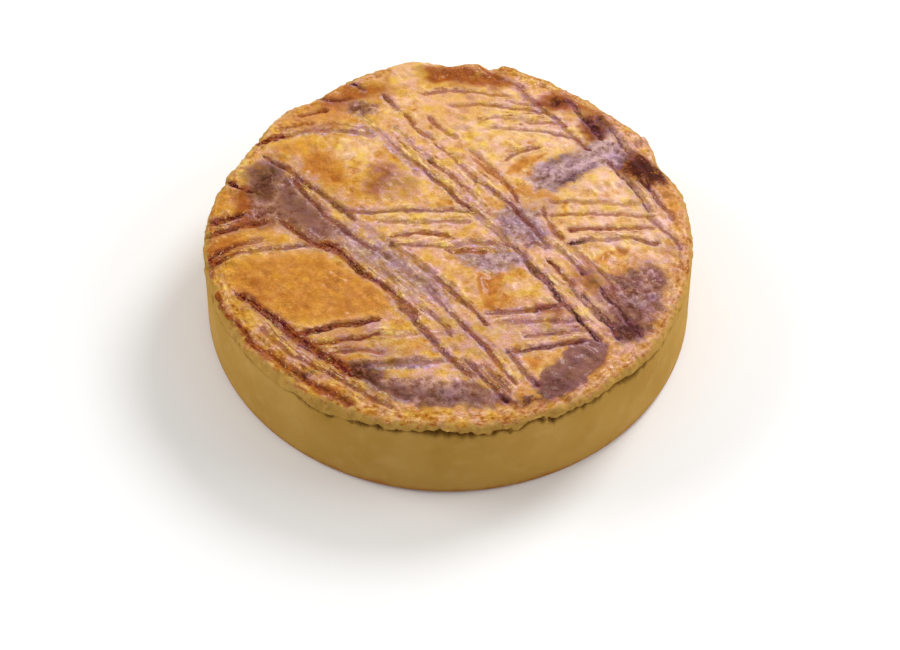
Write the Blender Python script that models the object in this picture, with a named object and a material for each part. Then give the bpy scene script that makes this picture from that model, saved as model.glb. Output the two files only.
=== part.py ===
"""A round shortbread cake as one solid: a tall ring-baked cake whose glazed lid is scored with a fork.

The origin is the middle of the flat underside, +Z is up and -Y is the front. Lengths are in
millimetres, and the finished mesh is made in metres.
"""

import bpy
import numpy as np
from mathutils.geometry import delaunay_2d_cdt

METRES_PER_MM = 0.001

# Driving dimensions
WALL_RADIUS = 110.0
RIM_HEIGHT = 46.6
DOME_RISE = 2.0
LID_INSET = 5.6  # how far the lid's edge loop lies inside the wall
SEAM_HEIGHT = 40.4  # where the lid's dough meets the dough below it
SEAM_DEPTH = 0.7

# Unevenness of the baked dough, as (millimetres up or out, wavelength)
OUTLINE_RIPPLE = (0.25, 26.0)
LID_RIPPLE = (0.22, 30.0)
LID_FINE_RIPPLE = (0.12, 11.0)
SEAM_RIPPLE = (0.7, 34.0)
LIP_RIPPLE = (0.5, 13.0)

# Mesh steps
WALL_STEPS = 168
STATION_STEP = 5.0  # along a fork line
FILL_STEP = 4.3
CLOSEST_FILL = 2.7  # between a point of the fill and any other
CLOSEST_STATIONS = 1.15  # between points of the fork lines
EDGE_CLEARANCE = 2.4  # between the lid's edge loop and the points inside it

# A fork line's cross-section
GROOVE_HALF_WIDTH = 1.15
GROOVE_DEPTH = 1.25
BURR_OFFSET = 2.5
BURR_HEIGHT = 0.4
BURR_HALF_WIDTH = 1.0
LINE_END_FADE = 1.5

# The side below the seam: height, how far outside WALL_RADIUS, share of the outline's lumps
WALL_ROWS = (
    (0.0, -1.8, 0.0),
    (0.9, -0.2, 0.0),
    (2.8, 0.4, 0.0),
    (13.0, 0.2, 0.0),
    (26.0, 0.0, 0.3),
)

# The seam: height over its middle, how far outside the outline, share of the depth, share of the lip
SEAM_ROWS = (
    (-4.2, -0.2, 0.0, 0.0),
    (-1.5, -0.5, 0.0, 0.0),
    (-0.4, -0.7, 1.0, 0.0),
    (0.7, -0.5, 0.5, 0.0),
    (1.7, -0.2, 0.0, 1.0),
)

# The lid's lip: height over RIM_HEIGHT, how far outside the outline, share of the lip and of the lid's relief
LIP_ROWS = (
    (-1.9, -0.9, 1.0, 0.3),
    (-0.2, -2.8, 0.0, 0.6),
)

# Lumps of the wall's outline: azimuth in degrees from +X, half width in degrees, millimetres outwards
OUTLINE_LUMPS = (
    (24.0, 5.0, -3.6),
    (47.0, 9.0, -3.0),
    (60.0, 5.0, -2.6),
    (75.0, 3.0, 1.2),
    (79.5, 2.0, -2.6),
    (90.0, 3.5, -2.4),
    (99.0, 4.0, 0.9),
    (124.0, 9.0, -3.9),
    (152.0, 14.0, -3.9),
)

# Where the seam under the lid gapes: azimuth, half width, millimetres deeper
SEAM_GAPES = (
    (-101.0, 6.0, 1.0),
    (-92.0, 4.0, 2.3),
    (-80.0, 7.0, 2.6),
    (-64.0, 3.0, 2.4),
    (-50.0, 5.0, 1.7),
    (-36.0, 9.0, 2.0),
    (-15.0, 8.0, 0.9),
    (-118.0, 8.0, 0.9),
    (-150.0, 7.0, 0.6),
)

# Fork lines on the lid, each as the three or four points that it runs through. A pass of the fork
# leaves lines that run side by side.
LEFT_DIAGONAL_PASS = (
    ((-84, 46), (-66, 30), (-7, -26), (17, -54)),
    ((-70, 30), (-50, 3), (-4, -40), (28, -85)),
    ((-75, 5), (-50, -13), (-18, -46), (9, -82)),
    ((-30, -22), (-12, -43), (2, -60)),
    ((8, -74), (15, -82), (25, -95)),
    ((26, -70), (32, -78), (39, -87)),
)
RIGHT_DIAGONAL_PASS = (
    ((-41, 73), (-14, 39), (30, -11), (67, -61)),
    ((-30, 84), (-8, 43), (26, 4), (55, -31)),
    ((-20, 71), (8, 37), (40, -1), (60, -24)),
    ((-9, 70), (10, 49), (31, 19), (63, -20)),
    ((60, -38), (66, -46), (74, -60)),
    ((68, -34), (76, -46), (84, -58)),
)
BACK_RIGHT_PASS = (
    ((16, 103), (25, 97), (33, 92)),
    ((34, 90), (43, 79), (64, 53)),
    ((56, 82), (64, 69), (70, 59)),
    ((70, 71), (80, 57), (88, 42)),
    ((76, 41), (88, 22), (104, -6)),
)
FRONT_LEFT_PASS = (
    ((-91, -38), (-76, -51), (-58, -68), (-18, -94)),
    ((-80, -57), (-62, -74), (-38, -90), (-24, -98)),
    ((-102, -38), (-89, -58), (-63, -82), (-41, -97)),
)
LEFT_EDGE_PASS = (
    ((-108, 5), (-101, 7), (-94, 10)),
    ((-109, -3), (-97, 1), (-82, 5)),
    ((-108, -18), (-99, -11), (-84, -6)),
    ((-107, -22), (-98, -16), (-86, -12), (-50, -10)),
    ((-101, 31), (-96, 28), (-90, 24)),
)
MIDDLE_PASS = (
    ((-44, 11), (-20, 12), (9, 12)),
    ((-32, 5), (-10, 5), (9, 6)),
    ((-25, -4), (-16, -2), (0, -3)),
    ((-25, -8), (5, -8), (43, -8)),
)
RIGHT_EDGE_PASS = (
    ((46, 18), (64, 18), (86, 17)),
    ((47, 10), (66, 11), (92, 10)),
    ((54, 1), (68, 2), (92, 3)),
    ((55, -7), (75, -3), (93, -6)),
)
BACK_LEFT_PASS = (
    ((-89, 53), (-73, 59), (-58, 61), (-37, 58)),
    ((-78, 64), (-62, 66), (-36, 62)),
    ((-70, 72), (-64, 73), (-58, 75)),
    ((-61, 84), (-56, 82), (-47, 83)),
    ((-46, 93), (-43, 91), (-40, 90)),
)
BACK_PASS = (
    ((-14, 84), (5, 86), (29, 83)),
    ((1, 79), (20, 78), (46, 74)),
    ((14, 69), (30, 70), (53, 66)),
    ((17, 63), (36, 63), (60, 57)),
)
FRONT_PASS = (
    ((-65, -60), (-53, -57), (-31, -52)),
    ((-57, -66), (-45, -63), (-30, -60)),
    ((-50, -70), (-40, -69), (-28, -69)),
    ((-42, -78), (-20, -76), (3, -73)),
)
FRONT_RIGHT_PASS = (
    ((18, -48), (32, -46), (50, -43)),
    ((22, -54), (36, -52), (60, -52)),
    ((34, -60), (46, -58), (61, -57)),
    ((29, -69), (42, -66), (58, -63)),
)
# Each pass with the depth of its lines as a share of GROOVE_DEPTH
PASSES = (
    (LEFT_DIAGONAL_PASS, 1.0),
    (RIGHT_DIAGONAL_PASS, 1.0),
    (BACK_RIGHT_PASS, 0.9),
    (FRONT_LEFT_PASS, 1.0),
    (LEFT_EDGE_PASS, 0.95),
    (MIDDLE_PASS, 0.6),
    (RIGHT_EDGE_PASS, 0.7),
    (BACK_LEFT_PASS, 0.85),
    (BACK_PASS, 0.6),
    (FRONT_PASS, 0.75),
    (FRONT_RIGHT_PASS, 0.7),
)

# Blisters and sags of the lid: x, y, half length, half width, turn in degrees, rise
SWELLINGS = (
    (-60.0, -33.0, 34.0, 18.0, -14.0, 0.9),
    (-56.0, 38.0, 12.0, 9.0, -50.0, -0.8),
    (-45.0, 48.0, 16.0, 9.0, 0.0, 0.9),
    (-24.0, 27.0, 14.0, 9.0, -20.0, 0.8),
    (30.0, 56.0, 22.0, 8.0, -15.0, 0.8),
    (32.0, 44.0, 13.0, 2.6, 30.0, -1.3),
    (38.0, 48.0, 13.0, 2.2, 30.0, 0.9),
    (52.0, 38.0, 15.0, 8.0, 35.0, -0.7),
    (71.0, 30.0, 10.0, 7.0, -10.0, 0.9),
    (20.0, -34.0, 4.0, 12.0, 8.0, -1.2),
    (30.0, -27.0, 10.0, 3.0, 55.0, 0.9),
    (12.0, -27.0, 8.0, 4.0, 70.0, 0.8),
    (40.0, -33.0, 9.0, 7.0, -30.0, 0.7),
    (76.0, -13.0, 4.0, 9.0, -25.0, -1.0),
    (84.0, -10.0, 9.0, 3.0, 60.0, 0.8),
    (84.0, -40.0, 14.0, 18.0, 10.0, -0.9),
    (57.0, -76.0, 16.0, 6.0, 48.0, -0.8),
    (-5.0, -91.0, 22.0, 6.0, 0.0, -0.8),
    (-78.0, 24.0, 20.0, 10.0, -38.0, -0.7),
    (-5.0, 103.0, 22.0, 4.0, 0.0, 1.3),
    (10.0, 97.0, 18.0, 3.5, -5.0, -1.0),
)


def remove_everything():
    for thing in list(bpy.data.objects):
        bpy.data.objects.remove(thing, do_unlink=True)


def ripple(x, y, size_and_wavelength, seed, waves=14):
    """Smooth noise of about this size: a sum of plane waves in seeded directions and phases."""
    size, wavelength = size_and_wavelength
    draw = np.random.default_rng(seed)
    total = np.zeros(np.broadcast(x, y).shape)
    for _ in range(waves):
        heading, phase = draw.uniform(0.0, 2.0 * np.pi, 2)
        pitch = 2.0 * np.pi / (wavelength * draw.uniform(0.7, 1.4))
        total += np.sin(pitch * (np.cos(heading) * x + np.sin(heading) * y) + phase)
    return size * total * np.sqrt(2.0 / waves)


def lumps_at(azimuth, lumps):
    """The sum of bell curves round the cake: size * exp(-(turn / width) ** 2)."""
    total = np.zeros_like(azimuth)
    for centre, width, size in lumps:
        turn = (np.degrees(azimuth) - centre + 180.0) % 360.0 - 180.0
        total += size * np.exp(-((turn / width) ** 2))
    return total


def outline_radius(azimuth):
    x, y = WALL_RADIUS * np.cos(azimuth), WALL_RADIUS * np.sin(azimuth)
    return WALL_RADIUS + lumps_at(azimuth, OUTLINE_LUMPS) + ripple(x, y, OUTLINE_RIPPLE, seed=1)


def line_frame(points):
    """Start, direction, left normal and length of a line's chord, and the two numbers of its bend."""
    points = np.array(points, float)
    chord = points[-1] - points[0]
    length = np.hypot(*chord)
    along = chord / length
    left = np.array([-along[1], along[0]])
    shares = (points[1:-1] - points[0]) @ along / length
    bends = (points[1:-1] - points[0]) @ left / (shares * (1.0 - shares))
    slope = (bends[-1] - bends[0]) / (shares[-1] - shares[0]) if len(bends) > 1 else 0.0
    return points[0], along, left, length, bends[0] - slope * shares[0], slope


def bent(share, bend, slope):
    """A line's sideways bend from its chord, zero at both ends: share (1 - share) (bend + slope share)."""
    return share * (1.0 - share) * (bend + slope * share)


def groove_relief(x, y, points, depth):
    """One fork line: a rounded groove with a low burr of dough on each side, fading at its ends."""
    start, along, left, length, bend, slope = line_frame(points)
    dx, dy = x - start[0], y - start[1]
    share = (dx * along[0] + dy * along[1]) / length
    across = dx * left[0] + dy * left[1] - bent(np.clip(share, 0.0, 1.0), bend, slope)
    beyond = length * (np.maximum(-share, 0.0) + np.maximum(share - 1.0, 0.0))
    fade = np.exp(-((beyond / LINE_END_FADE) ** 2))
    groove = -GROOVE_DEPTH * np.exp(-((across / GROOVE_HALF_WIDTH) ** 2))
    burr = BURR_HEIGHT * np.exp(-(((np.abs(across) - BURR_OFFSET) / BURR_HALF_WIDTH) ** 2))
    return depth * fade * (groove + burr)


def swelling(x, y, centre_x, centre_y, half_length, half_width, turn, rise):
    angle = np.radians(turn)
    dx, dy = x - centre_x, y - centre_y
    u = (dx * np.cos(angle) + dy * np.sin(angle)) / half_length
    v = (dy * np.cos(angle) - dx * np.sin(angle)) / half_width
    return rise * np.exp(-(u * u + v * v))


def lid_relief(x, y):
    """Height of the lid over its dome: fork lines, blisters and the unevenness of baked dough."""
    grooves = np.zeros(np.broadcast(x, y).shape)
    burrs = np.zeros_like(grooves)
    for lines, depth in PASSES:
        for points in lines:
            relief = groove_relief(x, y, points, depth)
            grooves = np.minimum(grooves, relief)
            burrs = np.maximum(burrs, relief)
    relief = grooves + burrs
    for shape in SWELLINGS:
        relief += swelling(x, y, *shape)
    return relief + ripple(x, y, LID_RIPPLE, seed=2) + ripple(x, y, LID_FINE_RIPPLE, seed=3)


def lid_height(x, y):
    """A low dome over the rim's height, with a soft fall in the last centimetres before the rim."""
    share = np.hypot(x, y) / WALL_RADIUS
    return RIM_HEIGHT + DOME_RISE * (1.0 - share**4) + lid_relief(x, y)


def wall_rows(azimuth):
    """The side as rows of (radius, height), from the underside's edge up to the lid's edge loop."""
    radius = outline_radius(azimuth)
    x, y = WALL_RADIUS * np.cos(azimuth), WALL_RADIUS * np.sin(azimuth)
    depth = SEAM_DEPTH + lumps_at(azimuth, SEAM_GAPES)
    seam = SEAM_HEIGHT + ripple(x, y, SEAM_RIPPLE, seed=4)
    lip = ripple(x, y, LIP_RIPPLE, seed=5)
    relief = lid_relief((radius - LID_INSET) * np.cos(azimuth), (radius - LID_INSET) * np.sin(azimuth))
    lumps = radius - WALL_RADIUS
    level = np.ones_like(azimuth)
    rows = [(WALL_RADIUS + out + share * lumps, height * level) for height, out, share in WALL_ROWS]
    for height, out, depth_share, lip_share in SEAM_ROWS:
        rows.append((radius + out - depth_share * depth + lip_share * lip, seam + height))
    for height, out, lip_share, relief_share in LIP_ROWS:
        rows.append((radius + out + lip_share * lip, RIM_HEIGHT + height + relief_share * relief))
    return rows


def line_stations(points):
    """Points along a fork line: its middle, both lips of the groove and both burrs."""
    start, along, left, length, bend, slope = line_frame(points)
    share = np.linspace(0.0, 1.0, max(3, round(length / STATION_STEP) + 1))
    middle = start + np.outer(share * length, along) + np.outer(bent(share, bend, slope), left)
    offsets = (0.0, GROOVE_HALF_WIDTH, -GROOVE_HALF_WIDTH, BURR_OFFSET, -BURR_OFFSET)
    return [middle + offset * left for offset in offsets]


def lid_points(edge_loop):
    """Points inside the lid's edge loop: the fork lines' first, then an even fill between them."""
    stations = [line_stations(points) for lines, _ in PASSES for points in lines]
    in_order = [row for rows in zip(*stations) for row in rows]
    steps = np.arange(-WALL_RADIUS, WALL_RADIUS, FILL_STEP)
    x, y = np.meshgrid(steps, steps * np.sqrt(0.75))
    x[1::2] += 0.5 * FILL_STEP
    fill = np.stack([x.ravel(), y.ravel()], axis=1)
    wanted = np.vstack([*in_order, fill])
    gaps = np.full(len(wanted), CLOSEST_STATIONS)
    gaps[-len(fill) :] = CLOSEST_FILL
    azimuth = np.arctan2(wanted[:, 1], wanted[:, 0])
    inside = np.hypot(*wanted.T) < outline_radius(azimuth) - LID_INSET - EDGE_CLEARANCE
    kept = np.empty((inside.sum() + len(edge_loop), 2))
    kept[: len(edge_loop)] = edge_loop
    count = len(edge_loop)
    for point, gap in zip(wanted[inside], gaps[inside]):
        if np.hypot(*(kept[:count] - point).T).min() > gap:
            kept[count] = point
            count += 1
    return kept[:count]


def lid_faces(triangles):
    """The triangles inside the edge loop. Those in a dent of the loop run against its order and go."""
    kept = []
    for a, b, c in triangles:
        on_loop = max(a, b, c) < WALL_STEPS
        if not on_loop or (a < b) + (b < c) + (c < a) == 2:
            kept.append((a, b, c))
    return kept


def cake_mesh():
    azimuth = np.linspace(-np.pi, np.pi, WALL_STEPS, endpoint=False)
    rows = wall_rows(azimuth)
    side = [np.stack([r * np.cos(azimuth), r * np.sin(azimuth), z], axis=1) for r, z in rows]
    edge_radius = outline_radius(azimuth) - LID_INSET
    edge_loop = np.stack([edge_radius * np.cos(azimuth), edge_radius * np.sin(azimuth)], axis=1)
    points = lid_points(edge_loop)
    flat = delaunay_2d_cdt(points.tolist(), [], [list(range(WALL_STEPS))], 1, 1e-4, False)
    plan = np.array([tuple(v) for v in flat[0]])
    lid = np.column_stack([plan, lid_height(plan[:, 0], plan[:, 1])])
    vertices = np.vstack([*side, lid]) * METRES_PER_MM

    def ring_of(row):
        return row * WALL_STEPS + np.arange(WALL_STEPS)

    faces = [tuple(int(i) for i in ring_of(0)[::-1])]
    for row in range(len(rows)):
        below, above = ring_of(row), ring_of(row + 1)
        quads = np.stack([below, np.roll(below, -1), np.roll(above, -1), above], axis=1)
        faces += [tuple(quad) for quad in quads.tolist()]
    first = len(rows) * WALL_STEPS
    faces += [tuple(first + corner for corner in face) for face in lid_faces(flat[2])]
    mesh = bpy.data.meshes.new("shortbread_cake")
    mesh.from_pydata(vertices.tolist(), [], faces)
    mesh.validate()
    return mesh


def baked_crust():
    material = bpy.data.materials.new("baked_crust")
    material.use_nodes = True
    shader = material.node_tree.nodes["Principled BSDF"]
    shader.inputs["Base Color"].default_value = (0.56, 0.26, 0.07, 1.0)
    shader.inputs["Roughness"].default_value = 0.42
    shader.inputs["Metallic"].default_value = 0.0
    return material


def main():
    remove_everything()
    mesh = cake_mesh()
    mesh.materials.append(baked_crust())
    mesh.shade_smooth()
    cake = bpy.data.objects.new("shortbread_cake", mesh)
    bpy.context.scene.collection.objects.link(cake)


main()
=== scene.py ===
"""The looks of a round shortbread cake: a glazed, fork-scored lid over a pale side baked in a ring.

Shapes are worked out in millimetres, with the cake's middle at the origin and its front at -Y, and
go into the meshes in metres.
"""

import math

import bpy
import numpy as np
from mathutils import Matrix, Vector


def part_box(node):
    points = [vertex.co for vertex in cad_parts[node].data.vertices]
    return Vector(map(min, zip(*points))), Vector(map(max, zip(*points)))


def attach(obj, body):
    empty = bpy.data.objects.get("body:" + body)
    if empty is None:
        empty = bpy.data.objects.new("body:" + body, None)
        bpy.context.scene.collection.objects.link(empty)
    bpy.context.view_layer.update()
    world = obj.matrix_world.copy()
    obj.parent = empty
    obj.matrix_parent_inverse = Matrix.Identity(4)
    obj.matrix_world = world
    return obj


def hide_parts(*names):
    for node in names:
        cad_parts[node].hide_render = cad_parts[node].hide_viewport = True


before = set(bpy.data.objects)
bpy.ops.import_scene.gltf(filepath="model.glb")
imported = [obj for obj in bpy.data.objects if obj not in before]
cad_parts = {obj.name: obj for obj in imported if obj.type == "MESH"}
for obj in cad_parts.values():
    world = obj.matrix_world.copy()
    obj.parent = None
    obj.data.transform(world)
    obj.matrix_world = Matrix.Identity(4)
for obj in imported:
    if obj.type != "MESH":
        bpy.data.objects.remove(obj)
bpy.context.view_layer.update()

METRES_PER_MM = 0.001

# The cake's main sizes, from its solid
low_corner, high_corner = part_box("shortbread_cake")
TOP_HEIGHT = high_corner.z / METRES_PER_MM
FOOT_SPREAD = 0.4  # how far the foot stands out from the wall
WALL_RADIUS = 0.5 * (high_corner.x - low_corner.x) / METRES_PER_MM - FOOT_SPREAD
RIM_HEIGHT = 46.6
DOME_RISE = 2.0
LID_INSET = 5.6  # how far the lid's edge loop lies inside the outline

# Mesh steps
LID_CELLS = 256  # along each side of the lid's grid
LONG_HEADING = -48.0  # of the long fork lines, in degrees, which the lid's grid follows
CROSS_HEADING = 3.0
ROWS_PER_BAND = (1, 1, 3, 3, 3, 2, 3, 3, 3, 2, 2, 2)  # of the side, from the foot up

# A fork line's cross-section
GROOVE_DEPTH = 1.2
BURR_OFFSET = 2.3
BURR_HEIGHT = 0.35
BURR_HALF_WIDTH = 0.9
CROWD_WIDTH = 3.6  # lines this close to one another leave a ridge between them
LEAST_LINE_WIDTH = 0.5
LINE_WIDENING = 0.5

# Unevenness of baked dough, each a sum of ripples as (millimetres up or out, wavelength, seed)
OUTLINE_RIPPLES = ((0.25, 26.0, 1),)
LID_RIPPLES = ((0.22, 30.0, 2), (0.13, 11.0, 3))
SEAM_RIPPLES = ((0.4, 16.0, 4), (0.25, 5.0, 31))
LIP_RIPPLES = ((0.3, 12.0, 5), (0.1, 5.0, 32))
CRUMB_RIPPLES = ((1.0, 3.2, 26), (0.8, 6.0, 27))

# How far drawn lines and the edges of patches waver, in the same way
LINE_WAVER_X = ((0.35, 15.0, 21), (0.15, 4.5, 22))
LINE_WAVER_Y = ((0.35, 15.0, 23), (0.15, 4.5, 24))
PATCH_WAVER_X = ((0.7, 12.0, 41), (0.35, 5.0, 42))
PATCH_WAVER_Y = ((0.7, 12.0, 43), (0.35, 5.0, 44))

# Places on the side, in millimetres down the outside from the lid's edge loop
LIP_ZONE = 5.5
SEAM_ZONE = 9.8

# Lumps of the wall's outline: azimuth in degrees from +X, half width in degrees, millimetres outwards
OUTLINE_LUMPS = (
    (24.0, 5.0, -3.6),
    (47.0, 9.0, -3.0),
    (60.0, 5.0, -2.6),
    (75.0, 3.0, 1.2),
    (79.5, 2.0, -2.6),
    (90.0, 3.5, -2.4),
    (99.0, 4.0, 0.9),
    (124.0, 9.0, -3.9),
    (152.0, 14.0, -3.9),
)

# The seam under the lid, round the cake: azimuth, height, how far it gapes, how far its lip stands out
SEAM_COURSE = (
    (-178.0, 40.0, 0.0, -0.2),
    (-152.0, 38.0, 0.2, -0.2),
    (-145.0, 42.0, 0.6, -0.1),
    (-137.0, 40.5, 0.2, -0.1),
    (-131.0, 40.0, 0.0, -0.1),
    (-125.0, 41.0, 0.8, 0.0),
    (-118.0, 38.5, 0.9, -0.1),
    (-113.0, 40.0, 0.1, -0.2),
    (-110.0, 41.0, 1.7, 0.0),
    (-105.5, 41.0, 1.3, 0.1),
    (-104.0, 41.0, 0.3, 0.11),
    (-101.5, 41.5, 2.3, 0.11),
    (-99.0, 42.0, 0.4, 0.17),
    (-96.0, 42.5, 2.1, 0.22),
    (-91.0, 42.5, 3.4, 0.22),
    (-87.0, 41.0, 2.1, 0.33),
    (-84.0, 42.0, 3.0, 0.22),
    (-80.5, 40.5, 0.6, 0.28),
    (-78.5, 42.5, 3.0, 0.17),
    (-74.0, 40.5, 1.5, 0.17),
    (-72.0, 43.0, 0.5, 0.0),
    (-68.0, 43.0, 2.2, -0.4),
    (-65.5, 40.0, 1.5, 0.17),
    (-60.0, 41.0, 1.6, 0.44),
    (-52.0, 42.5, 1.8, 0.44),
    (-46.0, 41.0, 3.0, 0.11),
    (-41.0, 40.0, 2.6, -0.3),
    (-38.0, 39.5, 1.4, 0.17),
    (-30.0, 38.5, 1.2, 0.17),
    (-24.0, 41.0, 0.7, 0.0),
    (-10.0, 41.0, 0.3, -0.1),
    (20.0, 40.0, 0.1, -0.2),
    (90.0, 40.0, 0.1, -0.3),
    (150.0, 40.0, 0.0, -0.3),
)

# Blisters and sags of the lid: x, y, half length, half width, turn in degrees, rise
SWELLINGS = (
    (-60.0, -33.0, 34.0, 18.0, -14.0, 0.9),
    (-56.0, 38.0, 12.0, 9.0, -50.0, -0.8),
    (-45.0, 48.0, 16.0, 9.0, 0.0, 0.9),
    (-24.0, 27.0, 14.0, 9.0, -20.0, 0.8),
    (30.0, 56.0, 22.0, 8.0, -15.0, 0.8),
    (32.0, 44.0, 13.0, 2.6, 30.0, -1.3),
    (38.0, 48.0, 13.0, 2.2, 30.0, 0.9),
    (52.0, 38.0, 15.0, 8.0, 35.0, -0.7),
    (71.0, 30.0, 10.0, 7.0, -10.0, 0.9),
    (20.0, -34.0, 4.0, 12.0, 8.0, -1.2),
    (30.0, -27.0, 10.0, 3.0, 55.0, 0.9),
    (12.0, -27.0, 8.0, 4.0, 70.0, 0.8),
    (40.0, -33.0, 9.0, 7.0, -30.0, 0.7),
    (76.0, -13.0, 4.0, 9.0, -25.0, -1.0),
    (84.0, -10.0, 9.0, 3.0, 60.0, 0.8),
    (84.0, -40.0, 14.0, 18.0, 10.0, -0.9),
    (57.0, -76.0, 16.0, 6.0, 48.0, -0.8),
    (-5.0, -91.0, 22.0, 6.0, 0.0, -0.8),
    (-78.0, 24.0, 20.0, 10.0, -38.0, -0.7),
    (-5.0, 103.0, 22.0, 4.0, 0.0, 1.3),
    (10.0, 97.0, 18.0, 3.5, -5.0, -1.0),
)

# Kinds of fork line: how strong their dark core and their painted sheen are, and their hue from 0 brown to 1
# black
LINE_KINDS = {
    "brown": (0.9, 0.15, 0.0),
    "umber": (1.0, 0.3, 0.3),
    "purple": (0.9, 0.75, 0.6),
    "dark": (1.0, 0.45, 1.0),
    "lavender": (0.35, 1.0, 0.8),
}

# Fork lines on the lid: kind, how dark the line is at its start and at its end, half width, and the three
# or four points that it runs through. LONG_LINES run down to the right, and CROSS_LINES to the right.
LONG_LINES = (
    ("purple", 0.9, 0.8, 1.2, (-84, 46), (-66, 30), (-41, 5)),
    ("lavender", 0.5, 0.9, 1.6, (-42, 6), (-28, -6), (-7, -26)),
    ("purple", 0.5, 0.9, 0.8, (-26, -8), (-7, -26), (17, -54)),
    ("purple", 0.8, 0.7, 1.2, (-70, 30), (-50, 3), (-32, -12)),
    ("lavender", 0.8, 0.5, 1.7, (-34, -10), (-18, -24), (-4, -38)),
    ("purple", 0.4, 0.9, 0.9, (-14, -27), (3, -50), (18, -69)),
    ("brown", 0.7, 0.7, 0.9, (16, -66), (22, -76), (28, -85)),
    ("lavender", 0.6, 0.4, 1.4, (-60, 0), (-36, -19), (-10, -44)),
    ("purple", 0.4, 0.6, 0.7, (-30, -22), (-12, -43), (2, -60)),
    ("umber", 0.7, 0.9, 1.5, (-75, 5), (-60, -8), (-49, -14)),
    ("umber", 1.0, 0.7, 2.2, (-53, -10), (-34, -28), (-14, -49)),
    ("purple", 0.8, 0.8, 1.7, (-22, -41), (-8, -61), (9, -82)),
    ("purple", 0.7, 0.9, 1.1, (8, -74), (15, -82), (25, -95)),
    ("purple", 0.6, 0.8, 0.9, (17, -77), (20, -82), (26, -90)),
    ("purple", 0.6, 0.8, 1.0, (26, -70), (32, -78), (39, -87)),
    ("lavender", 0.5, 0.8, 1.5, (-41, 73), (-33, 61), (-14, 39)),
    ("purple", 0.5, 1.0, 1.0, (-24, 51), (-4, 29), (12, 11)),
    ("lavender", 0.6, 0.9, 1.3, (8, 15), (17, 6), (26, -5)),
    ("dark", 0.4, 0.8, 0.8, (9, 13), (30, -11), (46, -31)),
    ("dark", 0.8, 1.0, 1.3, (35, -18), (49, -39), (65, -61)),
    ("purple", 0.3, 0.4, 0.8, (-25, 63), (-17, 53), (-8, 43)),
    ("brown", 0.8, 0.4, 1.0, (-9, 43), (1, 33), (12, 19)),
    ("lavender", 0.3, 0.6, 1.0, (4, 29), (15, 15), (26, 4)),
    ("purple", 0.9, 0.5, 1.1, (-30, 84), (-27, 80), (-24, 76)),
    ("brown", 0.8, 0.6, 0.9, (-20, 71), (-15, 64), (-8, 57)),
    ("brown", 0.6, 0.4, 0.7, (-6, 53), (8, 37), (17, 27)),
    ("purple", 0.5, 0.9, 0.9, (10, 34), (21, 23), (31, 12)),
    ("purple", 0.8, 0.6, 1.0, (31, 12), (40, -1), (45, -8)),
    ("dark", 0.3, 0.7, 0.7, (46, -8), (55, -17), (60, -24)),
    ("dark", 0.7, 0.9, 1.0, (60, -38), (66, -46), (74, -60)),
    ("dark", 0.8, 0.8, 0.9, (68, -34), (76, -46), (84, -58)),
    ("umber", 0.4, 0.5, 0.7, (57, -10), (63, -17), (74, -36)),
    ("dark", 0.5, 0.8, 0.8, (54, -32), (60, -42), (70, -54)),
    ("brown", 1.0, 0.6, 1.2, (45, -18), (50, -25), (55, -31)),
    ("brown", 0.7, 0.4, 0.9, (-9, 70), (-4, 63), (4, 58)),
    ("brown", 0.4, 0.8, 0.8, (10, 49), (20, 38), (31, 19)),
    ("brown", 0.4, 0.5, 0.7, (12, 43), (18, 37), (24, 33)),
    ("brown", 0.6, 0.7, 0.9, (43, 13), (46, 3), (51, -5)),
    ("brown", 0.3, 0.4, 0.7, (51, -5), (57, -13), (63, -20)),
    ("brown", 0.8, 0.5, 1.1, (16, 103), (25, 97), (33, 92)),
    ("purple", 0.5, 0.7, 1.3, (32, 91), (42, 79), (53, 67)),
    ("purple", 0.5, 0.8, 0.9, (53, 65), (59, 57), (65, 51)),
    ("dark", 0.7, 0.9, 1.2, (56, 82), (64, 69), (70, 59)),
    ("lavender", 0.7, 0.9, 1.3, (70, 71), (80, 57), (88, 42)),
    ("dark", 0.7, 0.8, 0.8, (74, 66), (82, 52), (86, 45)),
    ("purple", 0.8, 0.9, 1.1, (73, 42), (81, 32), (90, 14)),
    ("lavender", 0.9, 0.8, 1.5, (77, 39), (84, 28), (91, 13)),
    ("purple", 0.9, 0.5, 0.9, (88, 32), (94, 22), (101, 9)),
    ("purple", 0.5, 0.6, 0.8, (90, 10), (96, 3), (104, -8)),
    ("umber", 1.0, 1.1, 2.8, (-91, -38), (-76, -51), (-58, -68)),
    ("umber", 0.7, 1.1, 3.0, (-74, -54), (-58, -68), (-38, -82)),
    ("lavender", 0.8, 0.9, 1.6, (-40, -80), (-30, -87), (-18, -94)),
    ("umber", 0.5, 0.8, 1.3, (-80, -57), (-62, -74), (-46, -84)),
    ("umber", 0.7, 0.5, 1.0, (-50, -82), (-38, -90), (-24, -98)),
    ("brown", 1.0, 0.8, 1.6, (-102, -38), (-89, -58), (-63, -82), (-41, -97)),
)
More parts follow.
